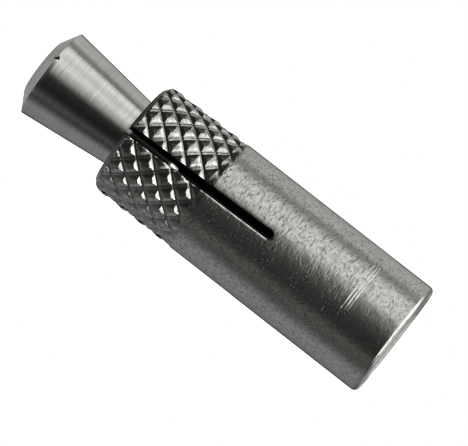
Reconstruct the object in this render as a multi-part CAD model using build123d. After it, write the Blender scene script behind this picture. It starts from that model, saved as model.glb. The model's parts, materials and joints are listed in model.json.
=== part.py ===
from build123d import *
import os
from math import radians, sin, tan

# Internally threaded expansion anchor, thread size 10 in a 12 mm drilled hole.
# It stands on its threaded end: +Z runs along its axis to the plug, and the origin is the centre of
# the flat threaded face. Azimuths are counted from +X towards +Y. All sizes are in millimetres.

# Sleeve
SLEEVE_LENGTH = 31.2
SHANK_RADIUS = 6.0
FOOT_EDGE_RADIUS = 0.45
MOUTH_CHAMFER_RADIAL, MOUTH_CHAMFER_AXIAL = 0.7, 0.48

# Threaded bore, at its tapping-drill size, blind in the sleeve apart from the bore that joins it
THREAD_CORE_RADIUS = 4.25
THREAD_LENGTH = 12.8
THREAD_LEAD_IN = 0.85
DRILL_POINT_ANGLE = 118
MIDDLE_BORE_RADIUS = 2.9

# Crossed saw cuts that part the mouth end into four fingers
SLOT_LENGTH = 16.6
SLOT_WIDTH = 0.9
SLOT_CORNER_RADIUS = 0.2
SLOT_LEAN = 1.1

# Diamond knurl, formed below the shank's own surface
KNURL_LENGTH = 9.2
KNURL_COUNT = 18
KNURL_AXIAL_PITCH = 2.16
KNURL_ROOT_RADIUS = 5.66
KNURL_CREST_RADIUS = 5.94
KNURL_FLANK_ANGLE = 57
KNURL_FLOOR_WIDTH = 0.1
KNURL_ROW_HEIGHT = 23.65
KNURL_ROW_AZIMUTH = -66.3
KNURL_RUN_OUT = 0.45
TOOTH_ROOT_DEPTH = 0.16

# Expander plug
PLUG_LENGTH = 16.1
PLUG_DEPTH = 5.7
PLUG_RADIUS = 4.6
PLUG_TAPER = 6.5
PLUG_HEAD_CHAMFER_RADIAL, PLUG_HEAD_CHAMFER_AXIAL = 1.75, 1.04
PLUG_TIP_CHAMFER_RADIAL, PLUG_TIP_CHAMFER_AXIAL = 0.45, 1.0
SEAT_GAP = 0.01

# How far a cutter runs out past the face that it cuts through
OVERRUN = 1.0

PLUG_SHOULDER = SLEEVE_LENGTH - PLUG_DEPTH + PLUG_LENGTH - PLUG_HEAD_CHAMFER_AXIAL


def plug_radius(height):
    """Radius of the plug's taper at a height above the threaded face."""
    return PLUG_RADIUS - (PLUG_SHOULDER - height) * tan(radians(PLUG_TAPER))


def plug_height(radius):
    """Height above the threaded face at which the plug's taper has a radius."""
    return PLUG_SHOULDER - (PLUG_RADIUS - radius) / tan(radians(PLUG_TAPER))


def turned(points):
    """A solid of revolution about Z from (radius, height) points."""
    outline = make_face(Polyline(*[(x, 0, z) for x, z in points], close=True))
    return revolve(outline, Axis.Z)


def sleeve_blank():
    """The sleeve's outside up to the knurl, with its rounded foot and the ramp down into the knurl."""
    shoulder = SLEEVE_LENGTH - KNURL_LENGTH
    hidden = KNURL_ROOT_RADIUS - TOOTH_ROOT_DEPTH
    ramp = KNURL_RUN_OUT * (SHANK_RADIUS - hidden) / (SHANK_RADIUS - KNURL_ROOT_RADIUS)
    blank = turned(
        [
            (0, 0),
            (SHANK_RADIUS, 0),
            (SHANK_RADIUS, shoulder),
            (hidden, shoulder + ramp),
            (0, shoulder + ramp),
        ]
    )
    foot_edge = blank.edges().filter_by(GeomType.CIRCLE).sort_by(Axis.Z)[0]
    return fillet(foot_edge, FOOT_EDGE_RADIUS)


def knurl_root():
    """The floor of the knurl's grooves: a prism with one flat under each file of teeth."""
    flats = 2 * KNURL_COUNT
    section = RegularPolygon(
        KNURL_ROOT_RADIUS, flats, major_radius=False, rotation=KNURL_ROW_AZIMUTH + 180 / flats
    )
    floor = SLEEVE_LENGTH - KNURL_LENGTH
    return Pos(0, 0, floor) * extrude(section, amount=KNURL_LENGTH)


def diamond(radius):
    """The corners of a tooth's diamond section on the X axis, at a radius."""
    half_round = KNURL_ROOT_RADIUS * sin(radians(180 / KNURL_COUNT))
    half_axial = KNURL_AXIAL_PITCH / 2
    half_pitch = half_round * half_axial / (half_round**2 + half_axial**2) ** 0.5
    flank = (radius - KNURL_ROOT_RADIUS) * tan(radians(KNURL_FLANK_ANGLE))
    share = 1 - (KNURL_FLOOR_WIDTH / 2 + flank) / half_pitch
    across, along = half_round * share, half_axial * share
    return [(radius, y, z) for y, z in ((across, 0), (0, along), (-across, 0), (0, -along))]


def knurl_tooth():
    """One diamond tooth on the X axis, flat-flanked, rooted a little below the grooves' floor."""
    base = diamond(KNURL_ROOT_RADIUS - TOOTH_ROOT_DEPTH)
    crest = diamond(KNURL_CREST_RADIUS)
    outlines = [base, crest]
    outlines += [(base[i - 1], base[i], crest[i], crest[i - 1]) for i in range(len(base))]
    return Solid(Shell([Face(Wire.make_polygon(outline)) for outline in outlines]))


def knurl():
    """Staggered rings of teeth from the shoulder to the mouth, trimmed by the mouth's chamfer."""
    tooth = knurl_tooth()
    step = 360 / KNURL_COUNT
    half_pitch = KNURL_AXIAL_PITCH / 2
    rows = range(-1, int((SLEEVE_LENGTH - KNURL_ROW_HEIGHT) / half_pitch) + 2)
    teeth = []
    for row in rows:
        for place in range(KNURL_COUNT):
            azimuth = KNURL_ROW_AZIMUTH + step * (place + 0.5 * (row % 2))
            height = KNURL_ROW_HEIGHT + row * half_pitch
            teeth.append(Rot(0, 0, azimuth) * Pos(0, 0, height) * tooth)
    return teeth


def mouth_trim():
    """What the mouth's chamfer and face take off the knurl's last ring."""
    outer = SHANK_RADIUS + OVERRUN
    slope = MOUTH_CHAMFER_AXIAL / MOUTH_CHAMFER_RADIAL
    inner = KNURL_ROOT_RADIUS - OVERRUN
    top = SLEEVE_LENGTH + KNURL_AXIAL_PITCH
    rim = SHANK_RADIUS - MOUTH_CHAMFER_RADIAL
    return turned(
        [
            (rim, SLEEVE_LENGTH),
            (outer, SLEEVE_LENGTH - slope * (outer - rim)),
            (outer, top),
            (inner, top),
            (inner, SLEEVE_LENGTH),
        ]
    )


def bores():
    """The threaded bore with its lead-in, the drill point, the middle bore and the plug's seat."""
    drill_point = (THREAD_CORE_RADIUS - MIDDLE_BORE_RADIUS) / tan(radians(DRILL_POINT_ANGLE / 2))
    seat_bottom = plug_height(MIDDLE_BORE_RADIUS - SEAT_GAP)
    return turned(
        [
            (0, -OVERRUN),
            (THREAD_CORE_RADIUS + THREAD_LEAD_IN + OVERRUN, -OVERRUN),
            (THREAD_CORE_RADIUS, THREAD_LEAD_IN),
            (THREAD_CORE_RADIUS, THREAD_LENGTH),
            (MIDDLE_BORE_RADIUS, THREAD_LENGTH + drill_point),
            (MIDDLE_BORE_RADIUS, seat_bottom),
            (plug_radius(SLEEVE_LENGTH + OVERRUN) + SEAT_GAP, SLEEVE_LENGTH + OVERRUN),
            (0, SLEEVE_LENGTH + OVERRUN),
        ]
    )


def saw_cut(azimuth):
    """One saw cut across the whole mouth end, leaning a little out of line with the axis."""
    length = SLOT_LENGTH + OVERRUN
    outline = RectangleRounded(SLOT_WIDTH, 2 * length, SLOT_CORNER_RADIUS)
    middle = SLEEVE_LENGTH - SLOT_LENGTH / 2
    start = Plane.XZ.offset(-2 * SHANK_RADIUS) * Pos(0, length - SLOT_LENGTH / 2) * outline
    cut = extrude(start, amount=4 * SHANK_RADIUS)
    return Rot(0, 0, azimuth) * Pos(0, 0, middle) * Rot(0, -SLOT_LEAN, 0) * cut


def sleeve():
    """The one-piece sleeve: turned blank, knurl, bores and four slots."""
    knurled = sleeve_blank().fuse(knurl_root(), *knurl())
    body = knurled - mouth_trim() - bores()
    return body - saw_cut(0) - saw_cut(90)


def plug():
    """The one-piece tapered plug, small end in the sleeve's mouth."""
    tip = SLEEVE_LENGTH - PLUG_DEPTH
    head = tip + PLUG_LENGTH
    return turned(
        [
            (0, tip),
            (plug_radius(tip + PLUG_TIP_CHAMFER_AXIAL) - PLUG_TIP_CHAMFER_RADIAL, tip),
            (plug_radius(tip + PLUG_TIP_CHAMFER_AXIAL), tip + PLUG_TIP_CHAMFER_AXIAL),
            (PLUG_RADIUS, head - PLUG_HEAD_CHAMFER_AXIAL),
            (PLUG_RADIUS - PLUG_HEAD_CHAMFER_RADIAL, head),
            (0, head),
        ]
    )


os.makedirs("parts", exist_ok=True)
for name, shape in {"sleeve": sleeve(), "plug": plug()}.items():
    export_step(shape, f"parts/{name}.step")
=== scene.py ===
import json
import math

import bmesh
import bpy
import numpy as np
from mathutils import Matrix, Vector

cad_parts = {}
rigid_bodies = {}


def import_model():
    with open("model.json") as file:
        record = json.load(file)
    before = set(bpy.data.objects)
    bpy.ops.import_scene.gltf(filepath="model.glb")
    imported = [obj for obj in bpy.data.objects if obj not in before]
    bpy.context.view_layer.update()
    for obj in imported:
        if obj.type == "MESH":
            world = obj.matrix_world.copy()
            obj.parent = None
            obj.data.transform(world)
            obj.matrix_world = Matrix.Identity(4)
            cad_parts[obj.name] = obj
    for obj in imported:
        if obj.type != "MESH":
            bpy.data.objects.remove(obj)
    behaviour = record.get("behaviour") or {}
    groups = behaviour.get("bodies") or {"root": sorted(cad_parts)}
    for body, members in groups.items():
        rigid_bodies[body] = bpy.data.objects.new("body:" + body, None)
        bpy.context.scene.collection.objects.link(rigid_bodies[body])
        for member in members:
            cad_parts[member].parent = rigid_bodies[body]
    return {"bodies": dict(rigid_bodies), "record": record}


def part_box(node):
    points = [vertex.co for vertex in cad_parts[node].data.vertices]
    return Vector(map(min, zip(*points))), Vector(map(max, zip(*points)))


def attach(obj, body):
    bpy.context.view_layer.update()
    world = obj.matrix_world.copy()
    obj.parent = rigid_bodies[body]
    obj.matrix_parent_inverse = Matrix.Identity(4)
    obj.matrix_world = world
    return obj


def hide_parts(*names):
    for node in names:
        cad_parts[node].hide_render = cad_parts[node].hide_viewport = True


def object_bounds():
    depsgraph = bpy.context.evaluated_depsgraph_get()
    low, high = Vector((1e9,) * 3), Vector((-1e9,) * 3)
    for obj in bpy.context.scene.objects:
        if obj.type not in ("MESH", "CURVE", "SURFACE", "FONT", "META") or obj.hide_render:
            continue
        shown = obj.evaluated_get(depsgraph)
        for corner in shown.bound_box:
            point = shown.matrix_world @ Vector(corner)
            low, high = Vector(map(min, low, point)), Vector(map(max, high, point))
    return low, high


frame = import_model()
CAD_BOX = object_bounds()

# Lengths are in millimetres and angles in degrees; MM turns a length into Blender's metres.
# +Z runs along the anchor from its threaded face to its plug. Azimuths are counted from +X to +Y.
MM = 0.001
SEED = 11

# Sleeve, from the frame. Its skin lies a little inside its solid.
SKIN_INSET = 0.02
SLEEVE_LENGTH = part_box("sleeve")[1].z / MM
SOLID_RADIUS = min(abs(side) for corner in CAD_BOX for side in (corner.x, corner.y)) / MM
SHANK_RADIUS = SOLID_RADIUS - SKIN_INSET
THREAD_MOUNT = next(m for m in frame["record"]["mounts"] if m["name"] == "thread")
THREAD_CORE = THREAD_MOUNT["dims"]["r_mm"]

# Foot's rounded edge
FOOT_RADIUS = 0.56
FOOT_TURNS = (0, 12, 24, 36, 48, 60, 72, 82, 90)
FOOT_MARGINS = (0.15, 0.45)

# Mouth's chamfer: a step in at its foot, then the slope, in shares of its height from foot to top
MOUTH_STEP = 0.15
MOUTH_INSET, MOUTH_HEIGHT = 0.6, 0.48
MOUTH_SHARES = (1.0, 0.8, 0.6, 0.4, 0.22, 0.1, 0.0)

# The sleeve slims a little towards its mouth, between two heights
SLIM_DEPTH = 0.03
SLIM_HEIGHTS = (25.2, 30.7)

# Female thread of size 10, which fades out at its end, and the bore beyond it
THREAD_PITCH = 1.5
THREAD_DEPTH = 0.78
THREAD_FLANK = 0.469
THREAD_START = 0.52
THREAD_TURNS_BELOW = 2
THREAD_LENGTH = 12.8
THREAD_FADE = (0.7, 0.1)
LEAD_IN = 0.85
BORE_RADIUS = 2.9
DRILL_POINT = 59

# Slots: saw cuts out of line with the axis, with rounded corners at their floors
SLOT_AZIMUTHS = (-90, 0, 90, 180)
SLOT_WIDTH = 0.92
SLOT_LENGTH = 16.6
SLOT_CORNER = 0.38
SLOT_LEAN = 1.1

# Bevels and burrs along the slots' edges: random lines by their spacing, least and most value.
# The saw leaves the edge that it enters by less worn.
SLOT_BEVEL = 0.14
BEVEL_LINE = (0.29, 0.55, 1.35)
BURR_LINE = (0.41, 0.02, 0.07)
GRIT_LINE = (0.16, 0, 0.05)
ENTRY_WEAR = 0.4

# Knurl: two families of grooves that cross, the first with a thin rib along its floors, and
# crests that lean and are skimmed flat. KNURL_ROWS of the mesh's rows make one pitch.
KNURL_COUNT = 18
KNURL_PITCH = 2.16
KNURL_LENGTH = 9.2
KNURL_HEIGHT = 23.52
KNURL_AZIMUTH = -67.5
KNURL_DEPTHS = (0.22, 0.24)
KNURL_FLANKS = (0.46, 0.41)
KNURL_FLOORS = (0.13, 0.06)
KNURL_RIB = 0.06
KNURL_SINK = 0.005
KNURL_LEAD = 0.5
KNURL_RUN_IN = (-0.35, 0.75)
KNURL_ROWS = 24
CREST_LEAN = 0.13
CREST_DROP = 0.03
CREST_TRIM = 0.025

# Ring marks turned round the shank: their heights and section, and their depth by azimuth
RING_HEIGHTS = (5.02, 5.30, 5.62)
RING_DEPTH = 0.033
RING_EDGES = (-0.03, 0.0, 0.10)
RING_ROWS = (-0.08, *RING_EDGES, 0.15)
RING_AZIMUTHS = (0, 180, 249, 270, 309, 318, 360)
RING_SHARES = (0.3, 0.3, 0.1, 1, 1, 0.1, 0.3)

# Plug, and how far its edges are broken, across and along it
PLUG_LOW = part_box("plug")[0].z / MM
PLUG_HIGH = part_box("plug")[1].z / MM
PLUG_RADIUS = 4.6
PLUG_TAPER = 6.5
PLUG_HEAD_INSET, PLUG_HEAD_HEIGHT = 1.75, 1.04
PLUG_TIP_INSET, PLUG_TIP_HEIGHT = 0.45, 1.0
TIP_FACE_BREAK = (0.06, 0.07)
TIP_EDGE_BREAK = (0.035, 0.06)
HEAD_EDGE_BREAK = (0.012, 0.02)
HEAD_RIM_BREAK = (0.008, 0.01)
HEAD_FACE_BREAK = 0.06
SEAT_GAP = 0.01

# Nick in the edge of the plug's head: pressed inwards and down, about a point by its shoulder
NICK_AZIMUTH = -75.5
NICK_INSET, NICK_RISE = 0.14, 0.09
NICK_DEPTH, NICK_REACH, NICK_DROP = 0.17, 0.15, 0.6

# Heights that follow from those above
SLOT_FLOOR = SLEEVE_LENGTH - SLOT_LENGTH
SLOT_MIDDLE = SLEEVE_LENGTH - SLOT_LENGTH / 2
KNURL_START = SLEEVE_LENGTH - KNURL_LENGTH
MOUTH_EDGE = SLEEVE_LENGTH - MOUTH_HEIGHT
PLUG_SHOULDER = PLUG_HIGH - PLUG_HEAD_HEIGHT
PLUG_TIP = PLUG_LOW + PLUG_TIP_HEIGHT
PLUG_SLOPE = math.tan(math.radians(PLUG_TAPER))
SEAT_LOW = PLUG_SHOULDER - (PLUG_RADIUS + SEAT_GAP - BORE_RADIUS) / PLUG_SLOPE
DRILL_END = THREAD_LENGTH + (THREAD_CORE - BORE_RADIUS) / math.tan(math.radians(DRILL_POINT))

# Fingers: the length that bends, the distance from the axis at which it neither stretches nor
# shortens, and their swing against the least that lets the plug in
FINGER_BEND = 0.7
FINGER_HINGE = 4.4
FINGER_EASE = 1.44

# Mesh: columns round the sleeve outside and inside, and round the plug
OUTER_COLUMNS = 432
INNER_COLUMNS = 216
PLUG_COLUMNS = 256

# Slots in the mesh: SLOT_HALF columns lie between a slot's middle and its wall. Within SLOT_PULL
# degrees the columns are drawn in towards it, and they return over SLOT_FADE below its floor.
SLOT_HALF = 5
SLOT_PULL = 20
SLOT_FADE = 1.5

# Where the slots' rounded floors fade out: below and above them, and over how many columns beside
OUTER_FLOOR_FADE, OUTER_FADE_COLUMNS = (-0.3, 0, 0.45), 3
INNER_FLOOR_FADE, INNER_FADE_COLUMNS = (-0.3, 0, 0.6), 2

# Rows of the sleeve's plain parts, outside and inside: first, end and step, or from a slot's floor
FOOT_ROWS = (1.4, 4.9, 0.5)
SHANK_ROWS = (5.9, SLOT_FLOOR - 0.4, 0.5)
FLOOR_ROWS = (-0.27, -0.18, -0.09, 0.0, 0.15, 0.3)
FINGER_FIRST, FINGER_END, FINGER_STEP = 0.6, 0.2, 0.3
BORE_ROWS, SEAT_ROWS = 4, 12
BORE_FLOOR_ROW, BORE_FIRST, BORE_STEP = 0.25, 0.6, 0.8

# Rows of the plug, and the rings of its flat ends
TAPER_ROWS, TAPER_MARGINS = 46, (0.12, 0.1)
HEAD_ROWS = 11
TIP_MARGIN = 0.05
END_HOLE = 0.3
TIP_RING_SHARE, HEAD_RING = 0.55, 1.6

# Points and edges closer than this are merged; edges sharper than these are kept
MERGE_DISTANCE = 0.0005
ROW_TOLERANCE = 0.001
SLEEVE_SHARP, PLUG_SHARP, FLOOR_SHARP = 32, 28, 30

# Steels, their colours of painted shade, and where their finish and painted shade change, by height
# or by distance from the axis
# The dull colour serves both for random dull tone and for painted shade in the knurl's grooves
SLEEVE_BRIGHT, SLEEVE_DULL_AND_SHADE = (0.70, 0.70, 0.668, 1), (0.30, 0.30, 0.278, 1)
# Painted shade: a near-black colour painted on the sleeve's bores and slots' walls
SLEEVE_PAINTED_SHADE = (0.035, 0.034, 0.032, 1)
PLUG_BRIGHT, PLUG_DULL = (0.68, 0.68, 0.655, 1), (0.44, 0.44, 0.415, 1)
# Painted shade: a dark colour painted on the plug where it sits in the sleeve
PLUG_PAINTED_SHADE = (0.04, 0.04, 0.038, 1)
GROUND_HEIGHTS = (4.6, 5.6)
KNURLED_HEIGHTS = (21.9, 22.3)
# Below these radii the knurl's grooves get painted shade
SHADED_GROOVE_RADII = (5.66, 5.82)
# Where the painted shade lies in the bores, up to the rim, and on the slots' walls
SHADED_INSIDE_RADII = (5.25, 5.5)
SHADED_INSIDE_HEIGHTS = (1.5, 9.0)
SHADE_RIM_HEIGHTS = (31.0, 31.15)
WALL_SHADE_RADII, WALL_SHADE_BLEND = (5.84, 5.9), 0.02
# Heights between which the plug is painted dark as shade
SHADED_SEAT_LOW, SHADED_SEAT_HIGH = (26.2, 26.4), (30.8, 31.15)

# Camera: its bearing, the point that it aims at, and where that point lies in the picture
CAMERA_AZIMUTH, CAMERA_ELEVATION, CAMERA_ROLL = -4.3, -4.15, -52.04
CAMERA_DISTANCE = 400
CAMERA_AIM = 20
CAMERA_OFFSET = (-0.78, 1.31)
CAMERA_CLIP = (0.01, 10)
FOCAL_PIXELS = 4306.4
IMAGE_WIDTH = 468
SENSOR = 36
FILM_SHARPNESS = 0.9

# Light by its bearing from the camera: level with the anchor, a little lower, above and below
LEVEL_LIGHT = (
    (-180, 0.0), (-168, 0.03), (-158, 0.16), (-136, 0.25), (-105, 0.30), (-97, 0.26), (-88, 0.13),
    (-78, 0.08), (-70, 0.08), (-61, 0.155), (-53, 0.085), (-44, 0.03), (-30, 0.04), (-18, 0.052),
    (-5, 0.075), (4, 0.085), (13, 0.105), (20, 0.155), (27, 0.43), (36, 1.03), (50, 0.95),
    (60, 0.94), (70, 0.86), (80, 0.52), (88, 0.22), (97, 0.30), (105, 0.60), (140, 0.50),
    (156, 0.36), (166, 0.06), (180, 0.0))
LOW_LIGHT = (
    (-180, 0.60), (-172, 0.50), (-164, 0.05), (-156, 0.14), (-116, 0.19), (-100, 0.24),
    (-90, 0.24), (-80, 0.10), (-71, 0.035), (-54, 0.060), (-45, 0.028), (-34, 0.010),
    (-16, 0.020), (-7, 0.030), (0, 0.17), (7, 0.48), (15, 0.68), (29, 1.10), (44, 0.74),
    (55, 0.74), (64, 1.15), (75, 1.02), (79, 0.70), (83, 0.08), (87, 0.08), (90, 0.38),
    (103, 0.45), (150, 0.40), (160, 0.22), (166, 0.05), (172, 0.50), (180, 0.60))
ABOVE_LIGHT = (
    (-180, 0.38), (-165, 0.36), (-150, 0.18), (-100, 0.13), (-60, 0.08), (-30, 0.03), (0, 0.012),
    (60, 0.015), (120, 0.03), (150, 0.06), (165, 0.36), (180, 0.40))
BELOW_LIGHT = (
    (-180, 0.30), (-125, 0.25), (-100, 0.06), (-66, 0.07), (-54, 0.45), (-46, 1.4), (-34, 2.1),
    (70, 2.1), (88, 1.8), (104, 1.6), (116, 0.65), (128, 0.30), (150, 0.22), (180, 0.30))
ZENITH_LIGHT, UNDER_LIGHT = 0.35, 0.74

# Where one light gives way to the next, as the sine of the angle down or up. The light from below
# reaches higher on one side. Its bearings and the tint's are in turns, from straight behind.
LOW_EDGE, BELOW_EDGE, UNDER_EDGE = (0.0, 0.11), (0.38, 0.52), (0.78, 0.88)
ABOVE_EDGE, ZENITH_EDGE = (0.10, 0.26), (0.86, 0.97)
BELOW_REACH, BELOW_REACH_EDGE = 0.20, (0.66, 0.80)
WARM_TINT, COOL_TINT = (1.0, 1.0, 0.972, 1), (0.985, 0.985, 1.03, 1)
TINT_EDGE = (0.22, 0.30)
PLAIN_WHITE = (1, 1, 1, 1)

# Floor
FLOOR_COLOUR, FLOOR_ROUGHNESS = (0.86, 0.86, 0.855, 1), 0.75
FLOOR_FADE = (60, 260)
FLOOR_GAP = 0.05
FLOOR_RING, FLOOR_TURN = 1.0, 7.5

rng = np.random.default_rng(SEED)


# ---- shader maths ----

class Value:
    """A socket that adds Math nodes when it is used in an expression."""

    def __init__(self, tree, socket):
        self.tree, self.socket = tree, socket

    def math(self, operation, *others, clamp=False):
        sockets = dict(enumerate((self, *others)))
        settings = {"operation": operation, "use_clamp": clamp}
        return Value(self.tree, node(self.tree, "ShaderNodeMath", settings, sockets).outputs[0])

    def __add__(self, other):
        return self.math("ADD", other)

    def __sub__(self, other):
        return self.math("SUBTRACT", other)

    def __rsub__(self, other):
        return (self * -1).math("ADD", other)

    def __mul__(self, other):
        return self.math("MULTIPLY", other)

    def __truediv__(self, other):
        return self.math("DIVIDE", other)

    def __pow__(self, other):
        return self.math("POWER", other)

    __radd__, __rmul__ = __add__, __mul__

    def clamp(self):
        return self.math("ADD", 0.0, clamp=True)

    def step(self, low, high):
        """0 below low, 1 above high, and a smooth rise between them."""
        settings = {"interpolation_type": "SMOOTHSTEP"}
        sockets = {"Value": self, "From Min": low, "From Max": high}
        return Value(self.tree, node(self.tree, "ShaderNodeMapRange", settings, sockets).outputs[0])


def node(tree, kind, settings=None, sockets=None):
    """Adds a node: its settings first, then the values or links of its sockets."""
    made = tree.nodes.new(kind)
    for name, setting in (settings or {}).items():
        if name == "stops":
            ramp = made.color_ramp.elements
            while len(ramp) < len(setting):
                ramp.new(0.5)
            for element, (position, colour) in zip(ramp, setting):
                element.position = position
                element.color = colour
        else:
            setattr(made, name, setting)
    for name, value in (sockets or {}).items():
        target = made.inputs[name]
        if isinstance(value, Value):
            tree.links.new(value.socket, target)
        elif isinstance(value, bpy.types.NodeSocket):
            tree.links.new(value, target)
        else:
            target.default_value = value
    return made


def split(tree, vector):
    """The three parts of a vector socket."""
    parts = node(tree, "ShaderNodeSeparateXYZ", None, {0: vector})
    return [Value(tree, part) for part in parts.outputs]


# ---- mesh building ----

class Weave:
    """Collects grids of points and the faces between them, for one mesh."""

    def __init__(self):
        self.points, self.faces, self.count = [], [], 0

    def add(self, points):
        """Adds an array of points in millimetres and returns their numbers in the same layout."""
        first = self.count
        flat = np.asarray(points, float).reshape(-1, 3)
        self.points.append(flat)
        self.count += len(flat)
        return np.arange(first, self.count).reshape(np.shape(points)[:-1])

    def quads(self, grid, keep=None, shift=0):
        """Faces of a grid of rows round the axis.

        shift joins the last column to a row that much later in the first."""
        following = np.roll(grid, -1, axis=1)
        if shift:
            following[:-shift, -1] = grid[shift:, 0]
            following[-shift:, -1] = grid[-1, 0]
        made = np.stack([grid[:-1], following[:-1], following[1:], grid[1:]], axis=-1)
        made = made[keep] if keep is not None else made.reshape(-1, 4)
        self.faces += made.tolist()

    def mesh(self, name, sharp):
        """The mesh, with doubled points merged, outward faces, and edges past an angle kept."""
        data = bpy.data.meshes.new(name)
        data.from_pydata(np.vstack(self.points) * MM, [], self.faces)
        work = bmesh.new()
        work.from_mesh(data)
        bmesh.ops.remove_doubles(work, verts=work.verts, dist=MERGE_DISTANCE * MM)
        bmesh.ops.dissolve_degenerate(work, dist=MERGE_DISTANCE * MM, edges=work.edges)
        bmesh.ops.recalc_face_normals(work, faces=work.faces)
        work.to_mesh(data)
        work.free()
        data.polygons.foreach_set("use_smooth", [True] * len(data.polygons))
        data.set_sharp_from_angle(angle=math.radians(sharp))
        return data


def smooth(value, low, high):
    """0 below low, 1 above high, and a smooth rise between them."""
    t = np.clip((value - low) / (high - low), 0, 1)
    return t * t * (3 - 2 * t)


def ripple(places, spacing, low, high):
    """A random line between low and high, with a new value each spacing, read off at places."""
    first = math.floor(np.min(places) / spacing) - 1
    count = math.ceil(np.max(places) / spacing) + 2 - first
    values = rng.uniform(low, high, count)
    return np.interp(np.asarray(places) / spacing - first, np.arange(count), values)


def around(azimuths, radii, heights):
    """Points from cylindrical coordinates in degrees and millimetres."""
    angle = np.radians(azimuths)
    parts = np.broadcast_arrays(radii * np.cos(angle), radii * np.sin(angle), heights)
    return np.stack(parts, axis=-1)


# ---- slots ----

def slot_side(height, side, opposite):
    """Distance of a slot's wall, or of its middle where side is 0, from the plane through the axis.

    It is counted towards rising azimuth."""
    lean = (height - SLOT_MIDDLE) * math.tan(math.radians(SLOT_LEAN))
    return side * SLOT_WIDTH / 2 - lean * (-1 if opposite else 1)


def slot_columns(count, heights, radii):
    """Azimuths of a grid's columns, drawn in so that some of them lie on the slots' walls."""
    even = 360 / count
    azimuths = np.tile(SLOT_AZIMUTHS[0] + np.arange(count) * even, (len(heights), 1))
    reach = round(SLOT_PULL / even)
    offsets = np.arange(-reach, reach + 1)
    stations = [-reach, -SLOT_HALF, SLOT_HALF, reach]
    for k, azimuth in enumerate(SLOT_AZIMUTHS):
        columns = (k * count // len(SLOT_AZIMUTHS) + offsets) % count
        for row, (height, radius) in enumerate(zip(np.maximum(heights, SLOT_FLOOR), radii)):
            walls = [math.degrees(math.asin(slot_side(height, side, k > 1) / radius))
                     for side in (-1, 1)]
            places = np.interp(offsets, stations, [-reach * even, *walls, reach * even])
            near = smooth(heights[row], SLOT_FLOOR - SLOT_FADE, SLOT_FLOOR)
            azimuths[row, columns] = azimuth + offsets * even + (places - offsets * even) * near
    return azimuths


def column_offsets(count):
    """How many columns each column stands from the nearest slot's middle."""
    quarter = count // len(SLOT_AZIMUTHS)
    offset = np.arange(count) % quarter
    return np.minimum(offset, quarter - offset)


def clear_of_slots(count, heights):
    """Which faces of a grid are kept: all but those across the slots."""
    offset = column_offsets(count)
    across = (offset <= SLOT_HALF) & (np.roll(offset, -1) <= SLOT_HALF)
    above = heights[:-1] >= SLOT_FLOOR - ROW_TOLERANCE
    return ~(above[:, None] & across[None, :])


def floor_lift(count, heights, fade, fade_columns):
    """How far the rounded corners of the slots' floors lift each point of a grid."""
    offset = column_offsets(count)
    across = np.minimum(offset, SLOT_HALF) / SLOT_HALF * SLOT_WIDTH / 2
    corner = np.maximum(across - (SLOT_WIDTH / 2 - SLOT_CORNER), 0)
    lift = SLOT_CORNER - np.sqrt(SLOT_CORNER ** 2 - corner ** 2)
    lift = lift * np.clip(1 - (offset - SLOT_HALF) / fade_columns, 0, 1)
    near = np.interp(heights, SLOT_FLOOR + np.array(fade), [0, 1, 0])
    return near[:, None] * lift[None, :]


def slot_wear(heights, rows):
    """How far the saw's burrs and bevels cut back the outside beside each slot."""
    column_width = 2 * math.pi * SHANK_RADIUS / OUTER_COLUMNS
    beside = np.maximum(column_offsets(OUTER_COLUMNS) - SLOT_HALF, 0) * column_width
    apart = np.hypot(beside[None, :], np.maximum(SLOT_FLOOR - rows, 0))
    wear, ragged = np.empty_like(apart), np.empty_like(apart)
    side_columns = OUTER_COLUMNS // len(SLOT_AZIMUTHS) // 2
    for edge in range(2 * len(SLOT_AZIMUTHS)):
        columns = edge * side_columns + np.arange(side_columns)
        burr = ripple(heights, *BURR_LINE) + ripple(heights, *GRIT_LINE)
        wear[:, columns] = burr[:, None] * (1 if edge % 2 else ENTRY_WEAR)
        ragged[:, columns] = ripple(heights, *BEVEL_LINE)[:, None]
    return wear * np.clip(1 - apart / (SLOT_BEVEL * ragged), 0, 1)


# ---- sleeve ----

def knurl_drop(azimuths, heights):
    """How far the knurl lies below the shank: two families of grooves, and crests that lean."""
    across = (azimuths - KNURL_AZIMUTH) * KNURL_COUNT / 360
    along = (heights - KNURL_HEIGHT) / KNURL_PITCH
    girth = 2 * math.pi * SHANK_RADIUS / KNURL_COUNT
    spacing = girth * KNURL_PITCH / math.hypot(girth, KNURL_PITCH)
    first, second = across + along, across - along
    lean = CREST_LEAN * KNURL_PITCH * (first - np.round(first) - second + np.round(second)) / 2
    drop = np.maximum(CREST_DROP + lean, CREST_TRIM)
    families = zip((first, second), KNURL_DEPTHS, KNURL_FLANKS, KNURL_FLOORS)
    for phase, depth, flank, bed in families:
        gap = np.abs(phase - np.floor(phase) - 0.5) * spacing
        groove = depth * (1 - np.clip((gap - bed) / flank, 0, 1))
        if phase is first:
            groove -= KNURL_RIB * np.clip(1 - gap / bed, 0, 1)
        drop = np.maximum(drop, groove)
    return drop


def outer_rows():
    """Heights of the rows of the sleeve's outer grid, close together where there is detail."""
    step = KNURL_PITCH / KNURL_ROWS
    first = math.ceil((KNURL_START - KNURL_LEAD - KNURL_HEIGHT) / step)
    knurl = KNURL_HEIGHT + step * np.arange(first, math.floor((MOUTH_EDGE - KNURL_HEIGHT) / step))
    foot = FOOT_RADIUS * (1 - np.cos(np.radians(FOOT_TURNS)))
    rings = [ring + np.array(RING_ROWS) for ring in RING_HEIGHTS]
    fingers = np.arange(SLOT_FLOOR + FINGER_FIRST, knurl[0] - FINGER_END, FINGER_STEP)
    return np.sort(np.concatenate([
        foot, FOOT_RADIUS + np.array(FOOT_MARGINS), *rings, np.arange(*FOOT_ROWS),
        np.arange(*SHANK_ROWS), SLOT_FLOOR + np.array(FLOOR_ROWS), fingers, knurl,
        SLEEVE_LENGTH - MOUTH_HEIGHT * np.array(MOUTH_SHARES)]))


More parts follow.
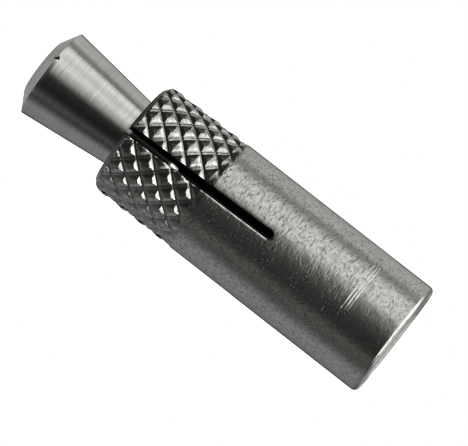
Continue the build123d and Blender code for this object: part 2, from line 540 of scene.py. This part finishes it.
def sleeve_outside(heights):
    """Azimuths and radii of the sleeve's outer grid, for the heights of its rows."""
    rows = heights[:, None]
    below = np.clip(FOOT_RADIUS - heights, 0, FOOT_RADIUS)
    turned = SHANK_RADIUS - (FOOT_RADIUS - np.sqrt(FOOT_RADIUS ** 2 - below ** 2))
    azimuths = slot_columns(OUTER_COLUMNS, heights, turned)

    marks = RING_DEPTH * sum(np.interp(rows - ring, RING_EDGES, (0, 1, 0)) for ring in RING_HEIGHTS)
    plain = turned[:, None] - marks * np.interp(np.mod(azimuths, 360), RING_AZIMUTHS, RING_SHARES)
    run_in = smooth(rows, *(KNURL_START + reach for reach in KNURL_RUN_IN))
    knurled = SHANK_RADIUS - SLIM_DEPTH * smooth(rows, *SLIM_HEIGHTS)
    knurled = knurled - run_in * (KNURL_SINK + knurl_drop(azimuths, rows))
    radii = np.where(rows > KNURL_START - KNURL_LEAD, np.minimum(knurled, plain), plain)
    chamfer = SHANK_RADIUS - MOUTH_STEP - MOUTH_INSET * (rows - MOUTH_EDGE) / MOUTH_HEIGHT
    radii = np.minimum(radii, np.where(rows >= MOUTH_EDGE, chamfer, SHANK_RADIUS))
    return azimuths, radii - slot_wear(heights, rows)


def thread_inside():
    """Points of the threaded bore's helical grid, and how many of its rows make one turn."""
    corners = np.array([0, THREAD_PITCH / 8, THREAD_PITCH / 8 + THREAD_FLANK,
                        THREAD_PITCH - THREAD_FLANK])
    turns = np.arange(-THREAD_TURNS_BELOW, math.ceil(THREAD_LENGTH / THREAD_PITCH) + 1)
    starts = (turns[:, None] * THREAD_PITCH + corners).ravel()[:, None] * np.ones(INNER_COLUMNS)
    climb = THREAD_START + THREAD_PITCH * np.arange(INNER_COLUMNS) / INNER_COLUMNS
    heights = np.clip(starts + climb, 0, THREAD_LENGTH)
    phase = np.mod(heights - climb, THREAD_PITCH)
    section = (THREAD_DEPTH, THREAD_DEPTH, 0, 0, THREAD_DEPTH)
    depth = np.interp(phase, [*corners, THREAD_PITCH], section)
    depth *= 1 - smooth(heights, *(THREAD_LENGTH - margin for margin in THREAD_FADE))
    radii = np.maximum(THREAD_CORE + depth, THREAD_CORE + LEAD_IN - heights)
    azimuths = SLOT_AZIMUTHS[0] + 360 * np.arange(INNER_COLUMNS) / INNER_COLUMNS
    return around(azimuths, radii, heights), len(corners)


def seat_inside():
    """Heights, and points, of the grid of the middle bore and the plug's seat."""
    bore = np.arange(SLOT_FLOOR + BORE_FIRST, SEAT_LOW, BORE_STEP)
    heights = np.array([*np.linspace(DRILL_END, SLOT_FLOOR, BORE_ROWS),
                        SLOT_FLOOR + BORE_FLOOR_ROW, *bore,
                        *np.linspace(SEAT_LOW, SLEEVE_LENGTH, SEAT_ROWS)])
    radii = np.maximum(BORE_RADIUS, plug_radius(heights) + SEAT_GAP)
    azimuths = slot_columns(INNER_COLUMNS, heights, radii)
    lift = floor_lift(INNER_COLUMNS, heights, INNER_FLOOR_FADE, INNER_FADE_COLUMNS)
    return heights, around(azimuths, radii[:, None], heights[:, None] + lift)


def floor_index(heights):
    """Which row lies on the slots' floors."""
    return int(np.argmin(np.abs(heights - SLOT_FLOOR)))


def sleeve_mesh():
    """The whole sleeve: outside, threaded bore, middle bore, seat, slots, foot and rim."""
    weave = Weave()
    heights = outer_rows()
    azimuths, radii = sleeve_outside(heights)
    lift = floor_lift(OUTER_COLUMNS, heights, OUTER_FLOOR_FADE, OUTER_FADE_COLUMNS)
    outer = weave.add(around(azimuths, radii, heights[:, None] + lift))
    weave.quads(outer, keep=clear_of_slots(OUTER_COLUMNS, heights))

    points, turn_rows = thread_inside()
    threaded = weave.add(points)
    weave.quads(threaded, shift=turn_rows)

    inner_heights, points = seat_inside()
    inner = weave.add(points)
    weave.quads(inner, keep=clear_of_slots(INNER_COLUMNS, inner_heights))
    weave.quads(np.stack([threaded[-1], inner[0]]))

    # Foot, rim, slot floors and slot walls
    slots = len(SLOT_AZIMUTHS)
    outer_quarter, inner_quarter = OUTER_COLUMNS // slots, INNER_COLUMNS // slots
    floor_row, inner_floor = floor_index(heights), floor_index(inner_heights)

    def span(row, first, low, high):
        return [row[(first + c) % len(row)] for c in range(low, high + 1)]

    for k in range(slots):
        low, inner_low = k * outer_quarter, k * inner_quarter
        foot = span(outer[0], low, 0, outer_quarter)
        weave.faces.append([*foot, *reversed(span(threaded[0], inner_low, 0, inner_quarter))])
        rim = span(outer[-1], low, SLOT_HALF, outer_quarter - SLOT_HALF)
        inner_rim = span(inner[-1], inner_low, SLOT_HALF, inner_quarter - SLOT_HALF)
        weave.faces.append([*rim, *reversed(inner_rim)])
        for c in range(-SLOT_HALF, SLOT_HALF):
            weave.faces.append([
                outer[floor_row, low + c], outer[floor_row, low + c + 1],
                inner[inner_floor, inner_low + c + 1], inner[inner_floor, inner_low + c]])
        for c in (-SLOT_HALF, SLOT_HALF):
            wall = [*outer[floor_row:, low + c], *inner[inner_floor:, inner_low + c][::-1]]
            weave.faces.append(wall)
    return weave.mesh("sleeve_skin", SLEEVE_SHARP)


# ---- plug ----

def plug_radius(height):
    """Radius of the plug's taper at a height."""
    return PLUG_RADIUS - (PLUG_SHOULDER - height) * PLUG_SLOPE


def plug_profile():
    """Radius and height of each row of the plug, from the middle of its tip to that of its head."""
    tip_radius = plug_radius(PLUG_TIP)
    tip_face, head_face = tip_radius - PLUG_TIP_INSET, PLUG_RADIUS - PLUG_HEAD_INSET
    tip = [(END_HOLE, PLUG_LOW), (TIP_RING_SHARE * tip_radius, PLUG_LOW),
           (tip_face - TIP_FACE_BREAK[0], PLUG_LOW), (tip_face, PLUG_LOW + TIP_FACE_BREAK[1]),
           (tip_radius - TIP_EDGE_BREAK[0], PLUG_TIP - TIP_EDGE_BREAK[1]),
           (tip_radius, PLUG_TIP + TIP_MARGIN)]
    low, high = PLUG_TIP + TAPER_MARGINS[0], PLUG_SHOULDER - TAPER_MARGINS[1]
    taper = [(plug_radius(height), height) for height in np.linspace(low, high, TAPER_ROWS)]
    chamfer = np.linspace(
        (PLUG_RADIUS - HEAD_EDGE_BREAK[0], PLUG_SHOULDER + HEAD_EDGE_BREAK[1]),
        (head_face + HEAD_RIM_BREAK[0], PLUG_HIGH - HEAD_RIM_BREAK[1]), HEAD_ROWS)
    head = [(head_face - HEAD_FACE_BREAK, PLUG_HIGH), (HEAD_RING, PLUG_HIGH),
            (END_HOLE, PLUG_HIGH)]
    return np.array([*tip, *taper, *chamfer, *head])


def plug_mesh():
    """The tapered plug, turned from bar, with a nick in its head's edge."""
    weave = Weave()
    radii, heights = plug_profile().T
    azimuths = 360 * np.arange(PLUG_COLUMNS) / PLUG_COLUMNS
    points = around(azimuths[None, :], radii[:, None], heights[:, None])
    nick = around(NICK_AZIMUTH, PLUG_RADIUS - NICK_INSET, PLUG_SHOULDER + NICK_RISE)
    pressed = NICK_DEPTH * np.exp(-(np.linalg.norm(points - nick, axis=-1) / NICK_REACH) ** 2)
    grid = weave.add(points - around(NICK_AZIMUTH, 1, NICK_DROP) * pressed[..., None])
    weave.quads(grid)
    weave.faces += [grid[0].tolist()[::-1], grid[-1].tolist()]
    return weave.mesh("plug_skin", PLUG_SHARP)


# ---- finishes ----

def material(name):
    """A new material, and its tree with nothing in it."""
    made = bpy.data.materials.new(name)
    made.use_nodes = True
    made.node_tree.nodes.clear()
    return made, made.node_tree


def surface_point(tree):
    """A point of the surface in millimetres.

    Gives the vector, its height, its distance from the axis, and its x and y."""
    point = node(tree, "ShaderNodeTexCoord").outputs["Object"]
    sockets = {0: point, "Scale": 1 / MM}
    scaled = node(tree, "ShaderNodeVectorMath", {"operation": "SCALE"}, sockets).outputs[0]
    x, y, z = split(tree, scaled)
    return scaled, z, (x * x + y * y) ** 0.5, (x, y)


def squeeze(tree, point, stretch):
    """A point with each of its parts multiplied by its own number."""
    sockets = {0: point, 1: stretch}
    return node(tree, "ShaderNodeVectorMath", {"operation": "MULTIPLY"}, sockets).outputs[0]


def noise(tree, point, stretch, scale, detail, roughness):
    """Noise from 0 to 1, squeezed along each axis by stretch, with scale waves a millimetre."""
    sockets = {"Vector": squeeze(tree, point, stretch), "Scale": scale,
               "Detail": detail, "Roughness": roughness}
    return Value(tree, node(tree, "ShaderNodeTexNoise", None, sockets).outputs[0])


def pits(tree, point, stretch, scale, size):
    """Small round pits: 1 at the middle of each and 0 between them."""
    sockets = {"Vector": squeeze(tree, point, stretch), "Scale": scale}
    cells = node(tree, "ShaderNodeTexVoronoi", None, sockets)
    return 1 - Value(tree, cells.outputs["Distance"]).step(0.0, size)


def blend(tree, factor, first, second):
    """A colour between two colours."""
    sockets = {0: factor, 6: first, 7: second}
    return node(tree, "ShaderNodeMix", {"data_type": "RGBA"}, sockets).outputs[2]


def finish_steel(tree, colour, roughness, relief):
    """Ends a tree with a bare steel surface, whose relief is in millimetres."""
    bump = node(tree, "ShaderNodeBump", None, {"Strength": 1.0, "Distance": MM, "Height": relief})
    sockets = {"Base Color": colour, "Metallic": 1.0, "Roughness": roughness,
               "Normal": bump.outputs[0]}
    shader = node(tree, "ShaderNodeBsdfPrincipled", None, sockets)
    node(tree, "ShaderNodeOutputMaterial", None, {"Surface": shader.outputs[0]})


def slot_wall_shade(height, radius, sides):
    """For each of the two planes that the slots lie in, 1 on its slots' walls and 0 elsewhere: the
    mask of painted shade on the walls.
    """
    lean = (height - SLOT_MIDDLE) * math.tan(math.radians(SLOT_LEAN))
    for side in sides:
        wall = 1 - (side + lean).math("ABSOLUTE").step(SLOT_WIDTH / 2, SLOT_WIDTH / 2 + WALL_SHADE_BLEND)
        wall = wall * height.step(SLOT_FLOOR - WALL_SHADE_BLEND, SLOT_FLOOR)
        yield wall * (1 - radius.step(*WALL_SHADE_RADII))


def sleeve_steel():
    """Dull steel with short dents round it, ground smoother near the foot.

    It is painted darker as shade in the knurl's grooves, and painted near black as shade in its
    bores and on its slots' walls."""
    made, tree = material("sleeve_steel")
    point, height, radius, sides = surface_point(tree)
    peel = noise(tree, point, (1.0, 1.0, 1.2), scale=1.3, detail=3.0, roughness=0.5)
    dents = noise(tree, point, (0.60, 0.60, 1.3), scale=3.7, detail=2.0, roughness=0.5)
    dents = dents.step(0.54, 0.70)
    grain = noise(tree, point, (1.0, 1.0, 1.6), scale=8.0, detail=2.0, roughness=0.5)
    patches = noise(tree, point, (1.0, 1.0, 1.3), scale=2.4, detail=4.0, roughness=0.65)
    patches = patches.step(0.42, 0.66)
    specks = pits(tree, point, (1.0, 1.0, 1.4), scale=1.5, size=0.20)
    turned = noise(tree, point, (0.12, 0.12, 5.0), scale=3.0, detail=2.0, roughness=0.6)

    ground = 1 - height.step(*GROUND_HEIGHTS)
    knurled = height.step(*KNURLED_HEIGHTS)
    # Painted shade: the knurl's grooves are painted darker, and also made rougher
    groove_shade = (1 - radius.step(*SHADED_GROOVE_RADII)) * knurled
    # Painted shade: the bores and the slots' walls are painted near black, and made rough
    inside_shade = (1 - radius.step(*SHADED_INSIDE_RADII)) * height.step(*SHADED_INSIDE_HEIGHTS)
    inside_shade = inside_shade * (1 - height.step(*SHADE_RIM_HEIGHTS))
    for wall in slot_wall_shade(height, radius, sides):
        inside_shade = inside_shade.math("MAXIMUM", wall)

    relief = peel * 0.032 - dents * 0.010 + grain * 0.004 - specks * 0.004
    relief = relief * (1 - ground * 0.40)
    relief = relief * (1 - knurled * 0.6) + turned * (0.002 + ground * 0.003)
    rough = 0.20 + patches * 0.06 + grain * 0.04 + groove_shade * 0.05 + inside_shade * 0.65
    # Dull tone: random dents, patches and specks, plus painted shade in the knurl's grooves
    dull = dents * 0.42 + patches * 0.36 + specks * 0.6 + groove_shade * 0.8
    colour = blend(tree, dull.clamp(), SLEEVE_BRIGHT, SLEEVE_DULL_AND_SHADE)
    finish_steel(tree, blend(tree, inside_shade, colour, SLEEVE_PAINTED_SHADE), rough, relief)
    return made


def plug_steel():
    """Bright turned steel with fine lines round it and a few pits, with painted shade where it is
    seated in the sleeve.
    """
    made, tree = material("plug_steel")
    point, height, _, _ = surface_point(tree)
    lines = noise(tree, point, (0.04, 0.04, 7.0), scale=2.4, detail=4.0, roughness=0.7)
    cloud = noise(tree, point, (1.0, 1.0, 1.0), scale=0.6, detail=2.0, roughness=0.5)
    grain = noise(tree, point, (0.5, 0.5, 2.0), scale=7.0, detail=2.0, roughness=0.5)
    specks = pits(tree, point, (1.0, 1.0, 1.4), scale=0.9, size=0.14)

    relief = lines * 0.006 + grain * 0.0015 - specks * 0.008
    rough = 0.06 + lines * 0.04 + cloud * 0.03
    dull = specks * 0.5 + cloud.step(0.45, 0.8) * 0.2 + lines.step(0.42, 0.62) * 0.4
    colour = blend(tree, dull.clamp(), PLUG_BRIGHT, PLUG_DULL)
    # Painted shade: the plug is painted dark where it sits inside the sleeve
    seated_shade = height.step(*SHADED_SEAT_LOW) * (1 - height.step(*SHADED_SEAT_HIGH))
    finish_steel(tree, blend(tree, seated_shade, colour, PLUG_PAINTED_SHADE), rough, relief)
    return made


# ---- studio ----

def studio_light(back):
    """The world: plain white to the camera, and soft bands of light and shade round the anchor.

    Bearings are counted from the camera's own, towards +X."""
    world = bpy.data.worlds.new("studio")
    bpy.context.scene.world = world
    world.use_nodes = True
    tree = world.node_tree
    tree.nodes.clear()
    way = node(tree, "ShaderNodeTexCoord").outputs["Generated"]
    ahead = Vector((back.x, back.y, 0)).normalized()
    aside = Vector((-ahead.y, ahead.x, 0))

    def along(direction):
        sockets = {0: way, 1: direction}
        product = node(tree, "ShaderNodeVectorMath", {"operation": "DOT_PRODUCT"}, sockets)
        return Value(tree, product.outputs["Value"])

    bearing = along(aside).math("ARCTAN2", along(ahead)) * (0.5 / math.pi) + 0.5
    up = along(Vector((0, 0, 1)))
    down = up * -1

    def band(stops):
        colours = [((angle + 180) / 360, (value, value, value, 1)) for angle, value in stops]
        ramp = node(tree, "ShaderNodeValToRGB", {"stops": colours}, {"Fac": bearing})
        return Value(tree, ramp.outputs[0])

    def between(factor, first, second):
        return first + (second - first) * factor

    reach = bearing.step(*BELOW_REACH_EDGE) * BELOW_REACH
    light = between(down.step(*LOW_EDGE), band(LEVEL_LIGHT), band(LOW_LIGHT))
    light = between(up.step(*ABOVE_EDGE), light, band(ABOVE_LIGHT))
    light = between(up.step(*ZENITH_EDGE), light, ZENITH_LIGHT)
    light = between((down + reach).step(*BELOW_EDGE), light, band(BELOW_LIGHT))
    light = between(down.step(*UNDER_EDGE), light, UNDER_LIGHT)
    tint = blend(tree, bearing.step(*TINT_EDGE), COOL_TINT, WARM_TINT)
    lit = node(tree, "ShaderNodeBackground", None, {"Color": tint, "Strength": light})
    plain = node(tree, "ShaderNodeBackground", None, {"Color": PLAIN_WHITE, "Strength": 1.0})
    rays = node(tree, "ShaderNodeLightPath").outputs
    seen = Value(tree, rays["Is Camera Ray"]).math("MAXIMUM", Value(tree, rays["Is Diffuse Ray"]))
    sockets = {0: seen, 1: lit.outputs[0], 2: plain.outputs[0]}
    mixed = node(tree, "ShaderNodeMixShader", None, sockets)
    node(tree, "ShaderNodeOutputWorld", None, {"Surface": mixed.outputs[0]})


def pale_floor():
    """A plain pale floor that fades into the white round it, and shows from above only."""
    made, tree = material("pale_floor")
    _, _, radius, _ = surface_point(tree)
    under = Value(tree, node(tree, "ShaderNodeNewGeometry").outputs["Backfacing"])
    clear = under.math("MAXIMUM", radius.step(*FLOOR_FADE))
    sockets = {"Base Color": FLOOR_COLOUR, "Roughness": FLOOR_ROUGHNESS}
    pale = node(tree, "ShaderNodeBsdfPrincipled", None, sockets)
    gone = node(tree, "ShaderNodeBsdfTransparent")
    sockets = {0: clear, 1: pale.outputs[0], 2: gone.outputs[0]}
    mixed = node(tree, "ShaderNodeMixShader", None, sockets)
    node(tree, "ShaderNodeOutputMaterial", None, {"Surface": mixed.outputs[0]})

    weave = Weave()
    radii = np.array([[FLOOR_RING], [FLOOR_FADE[1]]])
    rings = weave.add(around(np.arange(0, 360, FLOOR_TURN)[None, :], radii, -FLOOR_GAP))
    weave.quads(rings)
    weave.faces.append(rings[0].tolist())
    mesh = weave.mesh("pale_floor", FLOOR_SHARP)
    if mesh.polygons[0].normal.z < 0:
        mesh.flip_normals()
    mesh.materials.append(made)
    sheet = bpy.data.objects.new("pale_floor", mesh)
    bpy.context.scene.collection.objects.link(sheet)
    sheet.visible_glossy = False


def camera():
    """A long lens at the viewing angle, rolled so that the anchor lies aslant.

    Gives the direction from the anchor to the camera."""
    azimuth, elevation, roll = map(math.radians, (CAMERA_AZIMUTH, CAMERA_ELEVATION, CAMERA_ROLL))
    back = Vector((math.sin(azimuth) * math.cos(elevation),
                   -math.cos(azimuth) * math.cos(elevation), math.sin(elevation)))
    level = Vector((math.cos(azimuth), math.sin(azimuth), 0))
    upright = level.cross(-back)
    right = level * math.cos(roll) + upright * math.sin(roll)
    up = upright * math.cos(roll) - level * math.sin(roll)
    spot = Vector((0, 0, CAMERA_AIM)) + back * CAMERA_DISTANCE
    spot = spot - right * CAMERA_OFFSET[0] - up * CAMERA_OFFSET[1]
    data = bpy.data.cameras.new("camera")
    data.sensor_width = SENSOR
    data.lens = FOCAL_PIXELS * SENSOR / IMAGE_WIDTH
    data.clip_start, data.clip_end = CAMERA_CLIP
    made = bpy.data.objects.new("camera", data)
    bpy.context.scene.collection.objects.link(made)
    made.matrix_world = Matrix((right, up, back)).transposed().to_4x4()
    made.location = spot * MM
    bpy.context.scene.camera = made
    return back


# ---- moving parts ----

def spread_fingers(sleeve, plug_body):
    """Bends the four fingers outwards as the plug goes in.

    The plug's own place is read from its body."""
    tree = bpy.data.node_groups.new("fingers_spread", "GeometryNodeTree")
    for way in ("INPUT", "OUTPUT"):
        tree.interface.new_socket("Geometry", in_out=way, socket_type="NodeSocketGeometry")
    mesh_in = node(tree, "NodeGroupInput")
    plug = node(tree, "GeometryNodeObjectInfo", {"transform_space": "RELATIVE"},
                {"Object": plug_body})
    travel = (split(tree, plug.outputs["Location"])[2] * -1).math("MAXIMUM", 0.0)
    x, y, z = split(tree, node(tree, "GeometryNodeInputPosition").outputs[0])

    reach = FINGER_BEND * MM
    lever = (SEAT_LOW - SLOT_FLOOR - FINGER_BEND / 2) * MM
    angle = travel * (PLUG_SLOPE * FINGER_EASE / lever)
    over = (z - SLOT_FLOOR * MM).math("MAXIMUM", 0.0)
    bent = over.math("MINIMUM", reach)
    outward = angle * (bent * bent / (2 * reach) + (over - bent))
    turn = angle * bent / reach
    east, north = (part.math("SIGN") * math.sqrt(0.5) for part in (x, y))
    rise = turn * (FINGER_HINGE * MM - (x * east + y * north))
    sockets = {0: outward * east, 1: outward * north, 2: rise}
    shift = node(tree, "ShaderNodeCombineXYZ", None, sockets)
    sockets = {"Geometry": mesh_in.outputs[0], "Offset": shift.outputs[0]}
    moved = node(tree, "GeometryNodeSetPosition", None, sockets)
    node(tree, "NodeGroupOutput", None, {0: moved.outputs[0]})
    sleeve.modifiers.new("fingers_spread", "NODES").node_group = tree


def piece(name, mesh, finish, body, node_name):
    """An object of the anchor, on its body, in place of its solid."""
    made = bpy.data.objects.new(name, mesh)
    bpy.context.scene.collection.objects.link(made)
    mesh.materials.append(finish)
    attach(made, body)
    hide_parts(node_name)
    return made


studio_light(camera())
pale_floor()
sleeve_skin = piece("sleeve_skin", sleeve_mesh(), sleeve_steel(), "sleeve", "sleeve")
spread_fingers(sleeve_skin, frame["bodies"]["plug"])
piece("plug_skin", plug_mesh(), plug_steel(), "plug", "plug")

bpy.context.scene.view_settings.view_transform = "Standard"
bpy.context.scene.cycles.filter_width = FILM_SHARPNESS
